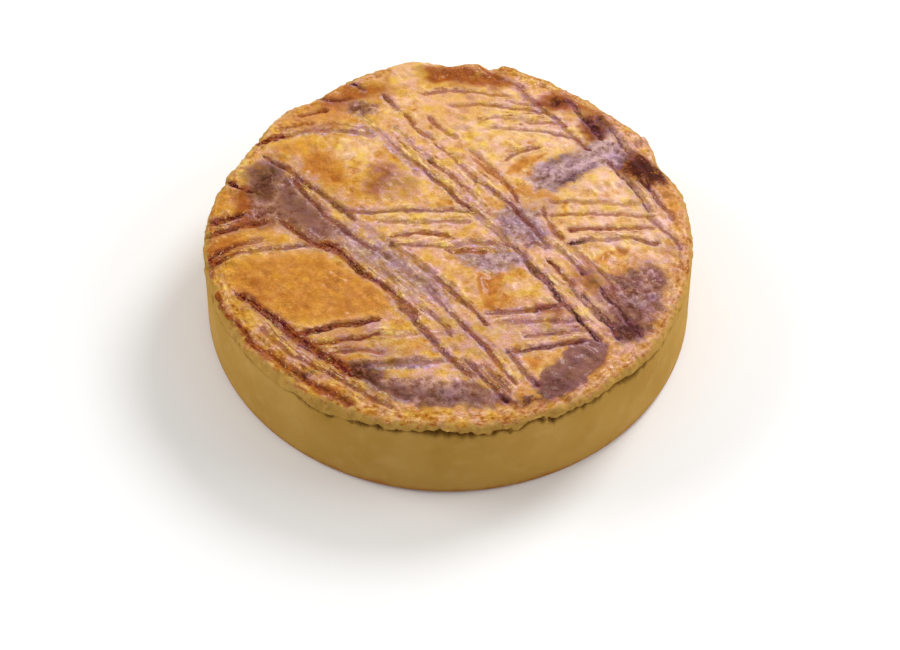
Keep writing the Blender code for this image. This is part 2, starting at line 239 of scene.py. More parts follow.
CROSS_LINES = (
    ("umber", 1.2, 1.1, 2.2, (-108, 5), (-101, 7), (-94, 10)),
    ("umber", 1.2, 0.8, 2.2, (-109, -3), (-97, 1), (-82, 5)),
    ("umber", 1.2, 0.4, 1.8, (-108, -18), (-99, -11), (-84, -6)),
    ("umber", 1.2, 0.4, 1.8, (-107, -22), (-98, -16), (-86, -12)),
    ("purple", 0.5, 0.9, 1.0, (-90, -13), (-72, -10), (-50, -10)),
    ("umber", 1.1, 1.0, 1.6, (-101, 31), (-96, 28), (-90, 24)),
    ("purple", 0.7, 0.6, 0.8, (-44, 11), (-20, 12), (9, 12)),
    ("purple", 0.5, 0.4, 0.7, (-32, 5), (-10, 5), (9, 6)),
    ("brown", 0.7, 0.8, 0.6, (-25, -4), (-16, -2), (0, -3)),
    ("purple", 0.7, 0.5, 0.9, (-25, -8), (-10, -9), (6, -8)),
    ("lavender", 0.8, 1.0, 1.5, (3, -8), (14, -7), (26, -9)),
    ("brown", 0.7, 0.8, 0.8, (0, -11), (6, -13), (16, -12)),
    ("purple", 0.6, 0.5, 0.9, (35, -9), (39, -7), (43, -9)),
    ("brown", 0.4, 0.4, 0.8, (46, 18), (64, 18), (86, 17)),
    ("brown", 0.6, 0.5, 0.8, (47, 10), (66, 11), (92, 10)),
    ("brown", 0.9, 0.6, 0.9, (54, 1), (68, 2), (92, 3)),
    ("dark", 0.9, 0.4, 1.0, (55, -7), (63, -5), (71, -4)),
    ("purple", 0.4, 0.8, 1.1, (68, -4), (80, -3), (93, -6)),
    ("umber", 1.2, 0.9, 1.8, (-88, 55), (-80, 58), (-73, 60)),
    ("lavender", 1.0, 0.8, 1.5, (-75, 60), (-58, 62), (-36, 59)),
    ("brown", 0.6, 0.5, 0.8, (-78, 64), (-70, 66), (-64, 66)),
    ("dark", 0.3, 0.4, 0.7, (-60, 65), (-48, 66), (-36, 61)),
    ("brown", 0.7, 0.9, 0.9, (-70, 72), (-64, 73), (-58, 75)),
    ("umber", 1.0, 0.5, 1.2, (-61, 84), (-56, 82), (-47, 83)),
    ("dark", 1.0, 0.7, 1.1, (-46, 93), (-43, 91), (-40, 90)),
    ("brown", 0.6, 0.5, 0.8, (-12, 87), (5, 88), (27, 85)),
    ("brown", 0.4, 0.7, 0.7, (1, 79), (20, 78), (46, 74)),
    ("brown", 0.4, 0.6, 0.7, (27, 82), (33, 81), (40, 79)),
    ("dark", 0.3, 0.3, 0.5, (14, 69), (27, 71), (37, 69)),
    ("brown", 0.5, 0.6, 0.7, (36, 68), (45, 68), (53, 66)),
    ("purple", 0.3, 0.7, 0.7, (17, 63), (36, 63), (60, 57)),
    ("brown", 0.6, 0.6, 0.6, (26, 44), (32, 48), (42, 51)),
    ("umber", 1.1, 0.9, 1.4, (-65, -60), (-53, -57), (-31, -52)),
    ("umber", 0.8, 0.8, 1.0, (-57, -66), (-45, -63), (-30, -60)),
    ("umber", 0.6, 0.5, 0.9, (-50, -70), (-40, -69), (-28, -69)),
    ("brown", 0.3, 0.2, 0.6, (-30, -60), (-16, -60), (0, -60)),
    ("lavender", 1.2, 1.1, 2.0, (-42, -78), (-25, -76), (-9, -75)),
    ("purple", 0.6, 0.6, 1.0, (-12, -75), (-5, -75), (3, -73)),
    ("purple", 0.6, 0.9, 1.0, (18, -48), (32, -46), (50, -43)),
    ("purple", 0.4, 0.6, 1.0, (22, -53), (36, -52), (60, -51)),
    ("purple", 0.6, 0.5, 0.8, (34, -60), (46, -58), (61, -57)),
    ("purple", 0.9, 0.9, 1.4, (29, -69), (42, -66), (58, -63)),
)

# The glaze in patches, by kind. Each patch is given by its strength, the width of its soft edge, and its
# corners in order round it.
# Browned by the oven
BURNT_PATCHES = (
    (1.2, 5.0, (-87, 5), (-89, 22), (-92, 30), (-92, 38), (-83, 42), (-75, 36), (-68, 26), (-60, 16),
     (-52, 5), (-43, -3), (-50, -5), (-57, -11), (-64, -5), (-74, 4), (-80, 3)),
    (0.75, 6.0, (-84, 48), (-74, 42), (-62, 28), (-46, 12), (-44, 16), (-58, 30), (-70, 42), (-80, 50)),
    (1.2, 2.5, (-48, 76), (-43, 80), (-34, 80), (-34, 74), (-42, 71)),
    (0.45, 4.0, (90, 0), (104, 0), (106, -16), (92, -15)),
    (0.4, 4.0, (-30, -78), (0, -79), (0, -86), (-26, -86)),
    (0.5, 4.0, (40, 34), (46, 44), (56, 48), (64, 48), (70, 44), (58, 36), (50, 28), (42, 28)),
    (0.4, 4.0, (28, 26), (40, 26), (52, 20), (50, 8), (40, 6), (26, 16)),
    (0.55, 3.0, (26, 17), (33, 16), (43, 12), (41, 6), (45, 0), (44, -8), (35, -10), (28, -8), (22, 0),
     (21, 8)),
    (0.4, 5.0, (-4, -80), (14, -76), (30, -84), (20, -90), (0, -86)),
    (0.5, 5.0, (40, -78), (56, -78), (64, -84), (54, -96), (40, -98), (34, -92)),
    (0.35, 4.0, (-44, -4), (-24, -10), (-2, -32), (4, -46), (-12, -36), (-30, -22)),
    (0.6, 5.0, (58, -22), (68, -22), (72, -30), (66, -36), (60, -34)),
    (1.1, 5.0, (70, -24), (80, -22), (88, -17), (94, -20), (96, -28), (94, -38), (92, -46), (86, -60),
     (75, -64), (70, -56), (67, -46), (68, -34)),
    (1.4, 3.0, (-42, -77), (-31, -82), (-20, -84), (0, -86), (12, -87), (20, -90), (20, -98), (0, -98),
     (-14, -97), (-24, -94), (-32, -89)),
    (0.7, 3.0, (12, -90), (30, -93), (44, -90), (42, -95), (20, -96)),
    (0.4, 6.0, (-64, -56), (-30, -50), (-14, -62), (-6, -78), (-30, -82), (-50, -74)),
    (0.38, 6.0, (-8, -44), (20, -50), (52, -42), (62, -60), (34, -72), (10, -78), (-6, -70)),
    (0.8, 2.5, (-72, -52), (-60, -62), (-46, -72), (-37, -80), (-40, -84), (-50, -77), (-62, -69),
     (-74, -58)),
    (0.7, 3.0, (-40, -76), (-30, -74), (-20, -84), (-28, -90), (-38, -83)),
    (0.5, 2.0, (38, -42), (51, -42), (51, -48), (40, -49)),
    (0.5, 6.0, (-36, 40), (-18, 42), (-10, 30), (-14, 18), (-30, 18), (-38, 26)),
)
# Almost black
CHARRED_PATCHES = (
    (0.72, 6.0, (-91, 22), (-90, 36), (-84, 40), (-77, 36), (-78, 24), (-84, 18)),
    (0.4, 5.0, (-78, 30), (-66, 22), (-54, 4), (-60, 0), (-78, 14)),
    (0.75, 3.0, (45, 80), (49, 86), (57, 84), (57, 79), (50, 77)),
    (0.65, 5.0, (60, 72), (66, 77), (75, 71), (75, 62), (67, 57), (61, 64)),
    (1.15, 3.0, (83, 46), (89, 47), (94, 43), (99, 36), (98, 31), (91, 31), (86, 33), (82, 38)),
    (0.55, 3.0, (76, 47), (84, 48), (85, 36), (89, 31), (82, 33), (76, 40)),
    (0.5, 3.0, (42, 39), (48, 47), (58, 51), (60, 46), (50, 41)),
    (0.65, 3.0, (46, 27), (54, 36), (70, 43), (64, 36), (56, 27)),
    (0.4, 5.0, (58, -22), (68, -20), (72, -32), (66, -40), (58, -34)),
    (0.36, 5.0, (76, -38), (86, -36), (96, -36), (94, -44), (90, -48), (86, -60), (76, -64), (70, -56),
     (68, -46)),
    (0.7, 2.5, (71, -52), (84, -50), (86, -59), (76, -63)),
    (0.3, 4.0, (70, -26), (82, -24), (90, -28), (86, -34), (72, -34)),
    (0.5, 3.0, (36, -87), (47, -79), (54, -76), (56, -84), (46, -91), (40, -92)),
    (0.6, 3.0, (-44, -74), (-34, -74), (-26, -82), (-32, -88), (-42, -82)),
    (0.5, 4.0, (-38, -80), (-26, -86), (-8, -88), (18, -89), (20, -98), (-6, -99), (-22, -95)),
    (0.75, 4.0, (20, -92), (30, -94), (40, -90), (46, -92), (38, -97), (24, -98)),
    (0.6, 2.0, (-72, -77), (-66, -80), (-57, -81), (-58, -84), (-68, -83)),
)
# Reddish brown; the band along the back rim is painted shade in a recess
RED_PATCHES = (
    (1.4, 4.0, (-96, 4), (-90, 1), (-80, 3), (-84, 12), (-88, 26), (-95, 27)),
    (0.65, 4.0, (-61, 82), (-50, 92), (-30, 96), (-22, 91), (-28, 84), (-38, 82), (-48, 74), (-62, 74)),
    # Painted shade: the recess behind the back rim, shown as reddish brown
    (1.25, 5.0, (-13, 102), (0, 104), (15, 102), (29, 95), (21, 92), (4, 94), (-9, 97)),
    (1.2, 4.0, (42, 82), (50, 87), (60, 83), (64, 76), (56, 76), (48, 76)),
    (0.9, 2.5, (60, 74), (70, 76), (76, 66), (72, 56), (64, 57), (60, 66)),
    (0.8, 4.0, (78, 54), (88, 50), (99, 38), (100, 30), (90, 28), (82, 32), (76, 42)),
    (0.6, 5.0, (54, -20), (64, -20), (70, -28), (68, -37), (60, -38), (54, -30)),
    (0.5, 4.0, (80, -22), (92, -16), (102, -20), (101, -28), (90, -32), (78, -30)),
    (0.9, 1.5, (50, -90), (60, -81), (66, -72), (69, -66), (71, -66), (68, -74), (61, -83), (52, -91)),
    (0.9, 3.0, (18, -93), (34, -94), (50, -91), (42, -97), (24, -99)),
    (0.7, 2.0, (-104, -38), (-96, -48), (-84, -62), (-68, -77), (-56, -86), (-38, -97), (-44, -99),
     (-60, -89), (-76, -76), (-90, -62), (-102, -46)),
    (0.8, 2.0, (36, -42), (51, -41), (52, -49), (40, -50)),
    (0.45, 2.5, (-50, -40), (-43, -39), (-40, -47), (-46, -49)),
    (0.9, 1.5, (-52, -8), (-47, -8), (-46, -12), (-50, -13)),
    (0.85, 5.0, (-34, 40), (-26, 40), (-22, 34), (-28, 28), (-32, 20), (-38, 22), (-36, 32)),
)
# Pale, gold glaze
PALE_PATCHES = (
    (1.2, 3.0, (56, -38), (66, -38), (71, -46), (70, -56), (63, -52), (57, -44)),
    (0.9, 4.0, (-53, 56), (-42, 55), (-36, 48), (-46, 44), (-54, 48)),
    (0.9, 5.0, (4, 70), (20, 67), (45, 66), (56, 58), (50, 50), (38, 52), (20, 58), (8, 56)),
    (1.1, 3.0, (55, 35), (70, 41), (80, 36), (84, 28), (76, 23), (60, 24), (54, 28)),
    (0.6, 4.0, (54, 20), (92, 22), (98, 8), (92, -2), (54, -2)),
    (0.5, 4.0, (-40, 15), (8, 16), (18, 0), (-24, -5), (-36, 6)),
    (0.5, 5.0, (22, -26), (40, -24), (48, -38), (40, -42), (28, -38)),
    (0.55, 9.0, (-30, 70), (-18, 94), (30, 92), (62, 70), (92, 34), (104, 0), (98, -24), (60, -18),
     (20, 24), (-4, 50)),
    (0.9, 4.0, (-50, 40), (-34, 44), (-30, 60), (-40, 56)),
    (0.7, 3.0, (58, -10), (72, -6), (92, -8), (100, -16), (86, -14), (78, -16), (62, -18)),
    (0.6, 3.0, (-60, 4), (-74, 1), (-60, -5), (-44, -7), (-50, -2)),
    (1.3, 4.0, (-26, 94), (-30, 112), (0, 112), (-6, 104), (-14, 102), (-12, 96)),
    (0.9, 4.0, (-98, 36), (-88, 56), (-70, 78), (-60, 84), (-62, 96), (-96, 62), (-104, 40)),
    (0.4, 4.0, (94, 14), (108, 12), (110, -24), (98, -14), (94, 2)),
)
# Thick, amber glaze
POOL_PATCHES = (
    (1.5, 3.5, (-66, 46), (-56, 47), (-50, 38), (-47, 30), (-53, 28), (-60, 32), (-65, 38)),
    (1.5, 4.0, (-114, 0), (-98, 1), (-90, -6), (-96, -14), (-108, -24)),
    (0.85, 4.0, (-100, -20), (-80, -13), (-58, -13), (-40, -25), (-22, -42), (-26, -50), (-60, -56),
     (-76, -50), (-92, -36)),
    (1.3, 5.0, (-96, -24), (-84, -22), (-78, -30), (-76, -44), (-84, -44), (-92, -36)),
    (1.2, 1.2, (12, -26), (17, -25), (25, -22), (24, -27), (20, -38), (20, -45), (16, -44), (14, -34)),
    (1.0, 1.2, (24, -37), (28, -40), (25, -44), (20, -46), (21, -43)),
    (0.9, 1.5, (26, -27), (30, -25), (36, -27), (31, -30)),
    (0.95, 1.2, (26, 35), (28, 42), (36, 46), (47, 49), (43, 45), (37, 39), (31, 35)),
    (1.0, 1.5, (64, -16), (70, -10), (76, -8), (82, -9), (80, -13), (74, -13), (70, -20), (66, -18)),
    (0.9, 2.0, (28, 24), (34, 30), (38, 26), (50, 22), (50, 19), (36, 21)),
    (0.62, 4.0, (-84, 60), (-66, 80), (-48, 78), (-40, 66), (-60, 60)),
    (0.6, 3.0, (-108, 22), (-102, 29), (-97, 24), (-98, 10), (-109, 9)),
    (0.35, 4.0, (-44, 84), (-30, 112), (20, 112), (40, 104), (20, 92), (-10, 90)),
    (0.38, 5.0, (-26, 74), (-10, 92), (30, 90), (20, 74), (0, 60), (-12, 56)),
    (0.6, 4.0, (-90, 58), (-74, 76), (-56, 92), (-48, 94), (-50, 86), (-66, 72), (-78, 60)),
    (1.1, 1.5, (33, -73), (40, -71), (43, -75), (38, -78)),
    (0.9, 1.5, (51, 17), (53, 17), (53, 9), (51, 9)),
    (0.6, 3.0, (-44, -60), (-34, -58), (-32, -68), (-44, -69)),
    (0.5, 3.0, (-24, 28), (-14, 30), (-12, 22), (-24, 20)),
    (0.6, 4.0, (-16, 92), (-14, 104), (4, 104), (4, 92)),
    (0.45, 4.0, (-94, 12), (-80, 4), (-70, -4), (-74, -14), (-92, -14)),
    (0.45, 5.0, (-58, -46), (-36, -46), (-28, -60), (-34, -74), (-50, -70), (-60, -58)),
    (0.4, 4.0, (-76, 44), (-62, 46), (-58, 34), (-66, 28)),
    (0.6, 4.0, (-90, 46), (-78, 56), (-62, 60), (-60, 48), (-78, 44)),
    (0.8, 2.0, (12, 46), (24, 34), (30, 24), (27, 23), (16, 36), (8, 46)),
    (0.7, 3.0, (98, 30), (104, 22), (108, 4), (102, 4), (98, 18)),
    (0.6, 3.0, (-56, -84), (-44, -88), (-40, -96), (-52, -94)),
)
# Dull, mauve glaze with painted sheen: reflected light laid into the colour
BLOOM_AND_SHEEN_PATCHES = (
    (0.3, 5.0, (-88, 36), (-78, 38), (-66, 26), (-58, 8), (-72, 6), (-84, 18)),
    (0.6, 3.0, (66, 72), (73, 70), (82, 56), (76, 54), (70, 62)),
    (1.5, 3.0, (36, 30), (42, 40), (51, 45), (59, 48), (65, 53), (78, 54), (82, 48), (78, 42), (70, 41),
     (62, 38), (56, 31), (48, 26), (40, 26)),
    (0.9, 4.0, (56, 46), (64, 57), (78, 56), (80, 48), (66, 42)),
    (0.8, 3.0, (26, 17), (33, 16), (43, 12), (41, 6), (45, 0), (44, -8), (35, -10), (28, -8), (22, 0),
     (21, 8)),
    (1.0, 2.5, (3, -12), (14, -14), (20, -11), (27, -10), (34, -14), (33, -19), (27, -22), (20, -24),
     (12, -23), (6, -19)),
    (0.75, 6.0, (-50, 2), (-42, 2), (-24, -12), (-2, -32), (4, -46), (-12, -38), (-32, -24), (-48, -8)),
    (0.6, 3.0, (74, -34), (84, -36), (98, -32), (96, -38), (84, -42), (74, -40)),
    (0.2, 5.0, (-54, 54), (-42, 55), (-34, 46), (-46, 42), (-54, 46)),
    (0.35, 4.0, (-30, -84), (0, -86), (18, -90), (16, -99), (-14, -99), (-26, -94)),
)
# Smooth, mauve brown
SMOKED_PATCHES = (
    (0.7, 5.0, (-80, 26), (-68, 24), (-60, 14), (-50, 2), (-46, -4), (-58, -8), (-66, -2), (-78, 8)),
    (1.7, 1.5, (37, -87), (41, -80), (48, -74), (57, -62), (67, -62), (68, -70), (63, -79), (57, -85),
     (49, -91), (41, -92)),
)
# Bare, crumbly crust
CRUMBS_PATCHES = (
    (0.9, 4.0, (-112, -20), (-98, -34), (-88, -46), (-66, -70), (-44, -86), (-20, -98), (10, -101),
     (40, -98), (60, -88), (80, -90), (0, -125), (-90, -90)),
    (0.6, 4.0, (60, -30), (72, -22), (90, -30), (98, -20), (110, -20), (104, -60), (88, -74), (74, -70),
     (64, -56)),
    (0.6, 4.0, (90, 34), (102, 34), (112, 10), (112, -24), (98, -22), (97, 4)),
)
PATCHES = dict(
    burnt=BURNT_PATCHES, charred=CHARRED_PATCHES, red=RED_PATCHES, pale=PALE_PATCHES, pool=POOL_PATCHES,
    bloom_and_sheen=BLOOM_AND_SHEEN_PATCHES, smoked=SMOKED_PATCHES, crumbs=CRUMBS_PATCHES,
)

# Colours run from 0 to 255. Where a noise runs through several, each has the noise's value before it.
# The palest, pinkish stops are partly painted highlight
GLAZE = (
    (0.22, 186, 116, 42),
    (0.36, 208, 146, 74),
    (0.5, 222, 166, 104),
    (0.6, 232, 178, 130),
    (0.7, 244, 194, 152),
    (0.86, 255, 218, 180),
)
# The palest, pinkish stops are partly painted highlight
COMBED_GLAZE = (
    (0.1, 130, 70, 40),
    (0.24, 178, 120, 90),
    (0.38, 217, 163, 100),
    (0.52, 212, 163, 148),
    (0.62, 238, 187, 134),
    (0.76, 250, 208, 168),
    (0.9, 255, 230, 196),
)
CRUST = (
    (0.18, 126, 50, 0),
    (0.32, 168, 95, 26),
    (0.46, 194, 135, 74),
    (0.6, 214, 159, 102),
    (0.74, 236, 186, 134),
    (0.88, 252, 216, 160),
)
SCORCHED = (
    (0.1, 98, 52, 42),
    (0.3, 126, 78, 68),
    (0.5, 150, 102, 89),
    (0.7, 178, 130, 114),
    (0.95, 208, 160, 142),
)
# Colours of the dull, mauve patches, partly painted sheen
BLOOMED_AND_SHEEN = (
    (0.18, 80, 50, 52),
    (0.34, 134, 100, 102),
    (0.52, 170, 136, 140),
    (0.72, 206, 170, 170),
)
GILDED = ((224, 170, 100), (253, 213, 160))
AMBER = ((168, 88, 16), (222, 154, 70))
RUSSET = ((124, 50, 6), (182, 100, 36))
MAUVE_BROWN = ((118, 72, 64), (160, 112, 98))
COAL = ((26, 0, 0), (104, 50, 38))
# Pale crumbs with painted glints, on the rough ridges and rim
CRUMB_GLINT = (250, 212, 164)
LINE_SHADE = ((176, 98, 42), (156, 92, 94))
# Painted sheen beside the fork lines, from dark to pale mauve
PAINTED_LINE_SHEEN = ((122, 86, 94), (208, 176, 182))
LINE_CORE = ((108, 34, 0), (58, 12, 26))
DOUGH = ((180, 138, 66), (192, 151, 80))
PALE_DOUGH = (202, 162, 96)
PORES = (136, 88, 34)
BROWNED_FOOT = (170, 104, 50)
CRUMB = ((158, 112, 44), (208, 166, 92))
# Painted shadow inside the seam's crack
SEAM_SHADOW = (104, 68, 24)

# What soft daylight makes of a colour, and two tints of the lid as shares of red, green and blue
DAYLIGHT_LEVEL = 1.06
DAYLIGHT_GLOSS = 0.009
YELLOW_TINT = (1.0, 1.03, 0.48)
MAUVE_TINT = (1.0, 0.965, 1.58)

# Gloss
LID_ROUGHNESS = (0.34, 0.62)
SIDE_ROUGHNESS = 0.78
GLAZE_COAT = 0.3
COAT_ROUGHNESS = 0.15
SPECULAR_LEVEL = 0.04

# The studio, in metres
FLOOR_HALF_WIDTH = 4.0
FLOOR_COLOUR = (248, 247, 245)
FLOOR_ROUGHNESS = 0.7
BACKDROP_COLOUR = (0.98, 0.99, 1.0)
BACKDROP_STRENGTH = 0.5
LIGHT_AIM = (0.0, 0.0, 0.03)
SOFT_LIGHTS = (  # name, place, size, power, colour
    ("window", (1.0, 1.1, 1.34), 0.8, 23.0, (0.97, 0.98, 1.0)),
    ("left_light", (-1.6, 0.3, 1.1), 1.0, 14.5, (1.0, 0.99, 0.97)),
    ("right_light", (1.6, 0.0, 1.0), 1.0, 9.5, (1.0, 0.99, 0.97)),
)

# The camera's view
CAMERA_AIM = (0.001, -0.0153, 0.0)
CAMERA_DISTANCE = 1.18
CAMERA_ELEVATION = 50.58
CAMERA_ROLL = 0.42
CAMERA_LENS = 102.9
SENSOR_WIDTH = 36.0


def ripple(x, y, wavelength, seed, waves=14):
    """Smooth noise of about unit size: a sum of plane waves in seeded directions and phases."""
    draw = np.random.default_rng(seed)
    total = np.zeros(np.broadcast(x, y).shape)
    for _ in range(waves):
        heading, phase = draw.uniform(0.0, 2.0 * np.pi, 2)
        pitch = 2.0 * np.pi / (wavelength * draw.uniform(0.7, 1.4))
        total += np.sin(pitch * (np.cos(heading) * x + np.sin(heading) * y) + phase)
    return total * np.sqrt(2.0 / waves)


def ripples(x, y, parts):
    """A sum of ripples, each given as (size, wavelength, seed)."""
    return sum(size * ripple(x, y, wavelength, seed) for size, wavelength, seed in parts)


def wavered(x, y):
    """A point's place moved by a fraction of a millimetre, so that drawn lines waver."""
    return x + ripples(x, y, LINE_WAVER_X), y + ripples(x, y, LINE_WAVER_Y)


def lumps_at(azimuth, lumps):
    """The sum of bell curves round the cake: size * exp(-(turn / width) ** 2)."""
    total = np.zeros_like(azimuth)
    for centre, width, size in lumps:
        turn = (np.degrees(azimuth) - centre + 180.0) % 360.0 - 180.0
        total += size * np.exp(-((turn / width) ** 2))
    return total


def outline_radius(azimuth):
    """The wall's radius, plus its lumps and a slow ripple."""
    x, y = WALL_RADIUS * np.cos(azimuth), WALL_RADIUS * np.sin(azimuth)
    return WALL_RADIUS + lumps_at(azimuth, OUTLINE_LUMPS) + ripples(x, y, OUTLINE_RIPPLES)


def line_place(x, y, points):
    """(signed distance from a fork line, share of the way along it), with the distance positive on the
    line's left. The line leaves its chord sideways by share (1 - share) (bend + slope share), with bend
    and slope set by its inner points."""
    points = np.array(points, float)
    chord = points[-1] - points[0]
    length = np.hypot(*chord)
    along = chord / length
    left = np.array([-along[1], along[0]])
    shares = (points[1:-1] - points[0]) @ along / length
    bends = (points[1:-1] - points[0]) @ left / (shares * (1.0 - shares))
    slope = (bends[-1] - bends[0]) / (shares[-1] - shares[0]) if len(bends) > 1 else 0.0
    bend = bends[0] - slope * shares[0]
    dx, dy = x - points[0][0], y - points[0][1]
    share = (dx * along[0] + dy * along[1]) / length
    on_line = np.clip(share, 0.0, 1.0)
    across = dx * left[0] + dy * left[1] - on_line * (1.0 - on_line) * (bend + slope * on_line)
    tilt = ((1.0 - 2.0 * on_line) * (bend + slope * on_line) + on_line * (1.0 - on_line) * slope) / length
    away = np.hypot(across / np.sqrt(1.0 + tilt**2), length * (share - on_line))
    return np.where(across < 0.0, -away, away), on_line


def nearest_marks(x, y, lines):
    """What the nearest fork line marks at each point, as (offset, core, sheen, hue): the signed distance
    in line widths, how strong its dark core and its painted bluish sheen are, and from 0 brown to 1 black."""
    offset, core, sheen, hue = np.full(x.shape, 9.0), *np.zeros((3, *x.shape))
    for kind, start_ink, end_ink, half_width, *points in lines:
        signed, share = line_place(x, y, points)
        signed /= LEAST_LINE_WIDTH + LINE_WIDENING * half_width
        core_ink, sheen_ink, line_hue = LINE_KINDS[kind]
        ink = start_ink + (end_ink - start_ink) * share
        nearer = np.abs(signed) < np.abs(offset)
        offset = np.where(nearer, signed, offset)
        core = np.where(nearer, ink * core_ink, core)
        sheen = np.where(nearer, ink * sheen_ink, sheen)
        hue = np.where(nearer, line_hue, hue)
    fade = np.clip(1.6 - 0.4 * np.abs(offset), 0.0, 1.0)
    return offset, core * fade, sheen * fade, hue


def crowding(x, y, lines):
    """How crowded the lines are at each point: 0 beside a lone line and 1 between neighbours."""
    crowd = np.zeros(x.shape)
    for _, _, _, _, *points in lines:
        away, _ = line_place(x, y, points)
        crowd += np.exp(-((away / CROWD_WIDTH) ** 2))
    return np.clip((crowd - 0.45) / 0.6, 0.0, 1.0)


def fork_relief(x, y):
    """A rounded groove along each line, with a low burr of dough on both sides. The deepest groove and
    the highest burr count where lines cross."""
    groove, burr = np.zeros(x.shape), np.zeros(x.shape)
    for _, start_ink, end_ink, half_width, *points in LONG_LINES + CROSS_LINES:
        away, share = line_place(x, y, points)
        depth = 0.35 + 0.65 * (start_ink + (end_ink - start_ink) * share)
        width = 0.8 + 0.5 * half_width
        groove = np.minimum(groove, -GROOVE_DEPTH * depth * np.exp(-((away / width) ** 2)))
        bank = (np.abs(away) - BURR_OFFSET) / BURR_HALF_WIDTH
        burr = np.maximum(burr, BURR_HEIGHT * depth * np.exp(-(bank**2)))
    return groove + burr


def swelling(x, y, centre_x, centre_y, half_length, half_width, turn, rise):
    """A turned oval bell: rise * exp(-(u * u + v * v)), with u and v along its half length and width."""
    angle = np.radians(turn)
    dx, dy = x - centre_x, y - centre_y
    u = (dx * np.cos(angle) + dy * np.sin(angle)) / half_length
    v = (dy * np.cos(angle) - dx * np.sin(angle)) / half_width
    return rise * np.exp(-(u * u + v * v))


def inside_by(x, y, corners):
    """Distance from a closed outline, positive inside it."""
    corners = np.array(corners, float)
    away = np.full(x.shape, 1e6)
    inside = np.zeros(x.shape, bool)
    for (ax, ay), (bx, by) in zip(corners, np.roll(corners, -1, axis=0)):
        share = ((x - ax) * (bx - ax) + (y - ay) * (by - ay)) / ((bx - ax) ** 2 + (by - ay) ** 2)
        share = np.clip(share, 0.0, 1.0)
        away = np.minimum(away, np.hypot(x - ax - share * (bx - ax), y - ay - share * (by - ay)))
        if ay != by:
            inside ^= ((ay > y) != (by > y)) & (x < ax + (y - ay) * (bx - ax) / (by - ay))
    return np.where(inside, away, -away)


def patch_fields(x, y):
    """How strongly each kind of patch colours each point: its strength inside, half of it at its outline.
    Where patches of one kind overlap, the stronger counts."""
    x = x + ripples(x, y, PATCH_WAVER_X)
    y = y + ripples(x, y, PATCH_WAVER_Y)
    fields = {kind: np.zeros(x.shape) for kind in PATCHES}
    for kind, patches in PATCHES.items():
        for strength, softness, *corners in patches:
            share = np.clip(0.5 + 0.4 * inside_by(x, y, corners) / softness, 0.0, 1.0)
            fields[kind] = np.maximum(fields[kind], strength * share)
    return fields


def crumbs_on(x, y):
    """Crumbly unevenness of about unit size, drawn out a little along the long fork lines."""
    turn = np.radians(LONG_HEADING)
    along, across = x * np.cos(turn) + y * np.sin(turn), y * np.cos(turn) - x * np.sin(turn)
    return ripples(0.6 * along, across, CRUMB_RIPPLES) * (0.6 + 0.5 * ripple(x, y, 17.0, seed=28))


def lid_relief(x, y):
    """Height of the lid over its dome: the sum of fork lines, blisters and the dough's unevenness."""
    relief = fork_relief(*wavered(x, y)) * (0.9 + 0.25 * ripple(x, y, 9.0, seed=25))
    for shape in SWELLINGS:
        relief += swelling(x, y, *shape)
    relief += ripples(x, y, LID_RIPPLES)
    crowd = np.maximum(crowding(x, y, LONG_LINES), crowding(x, y, CROSS_LINES))
    rim = np.exp(-(((np.hypot(x, y) - WALL_RADIUS + 4.0) / 6.0) ** 2))
    rough = np.maximum(np.maximum(0.6 * crowd, rim), patch_fields(x, y)["crumbs"])
    crinkle = ripple(x, y, 7.0, seed=45) * ripple(x, y, 15.0, seed=46) * np.clip(1.0 - 1.5 * crowd, 0.0, 1.0)
    return relief + (0.05 + 0.2 * rough) * crumbs_on(x, y) + 0.25 * crinkle


def lid_height(x, y):
    """A dome that falls with the fourth power of the way to the edge, plus the relief."""
    share = np.hypot(x, y) / WALL_RADIUS
    return RIM_HEIGHT + DOME_RISE * (1.0 - share**4) + lid_relief(x, y)


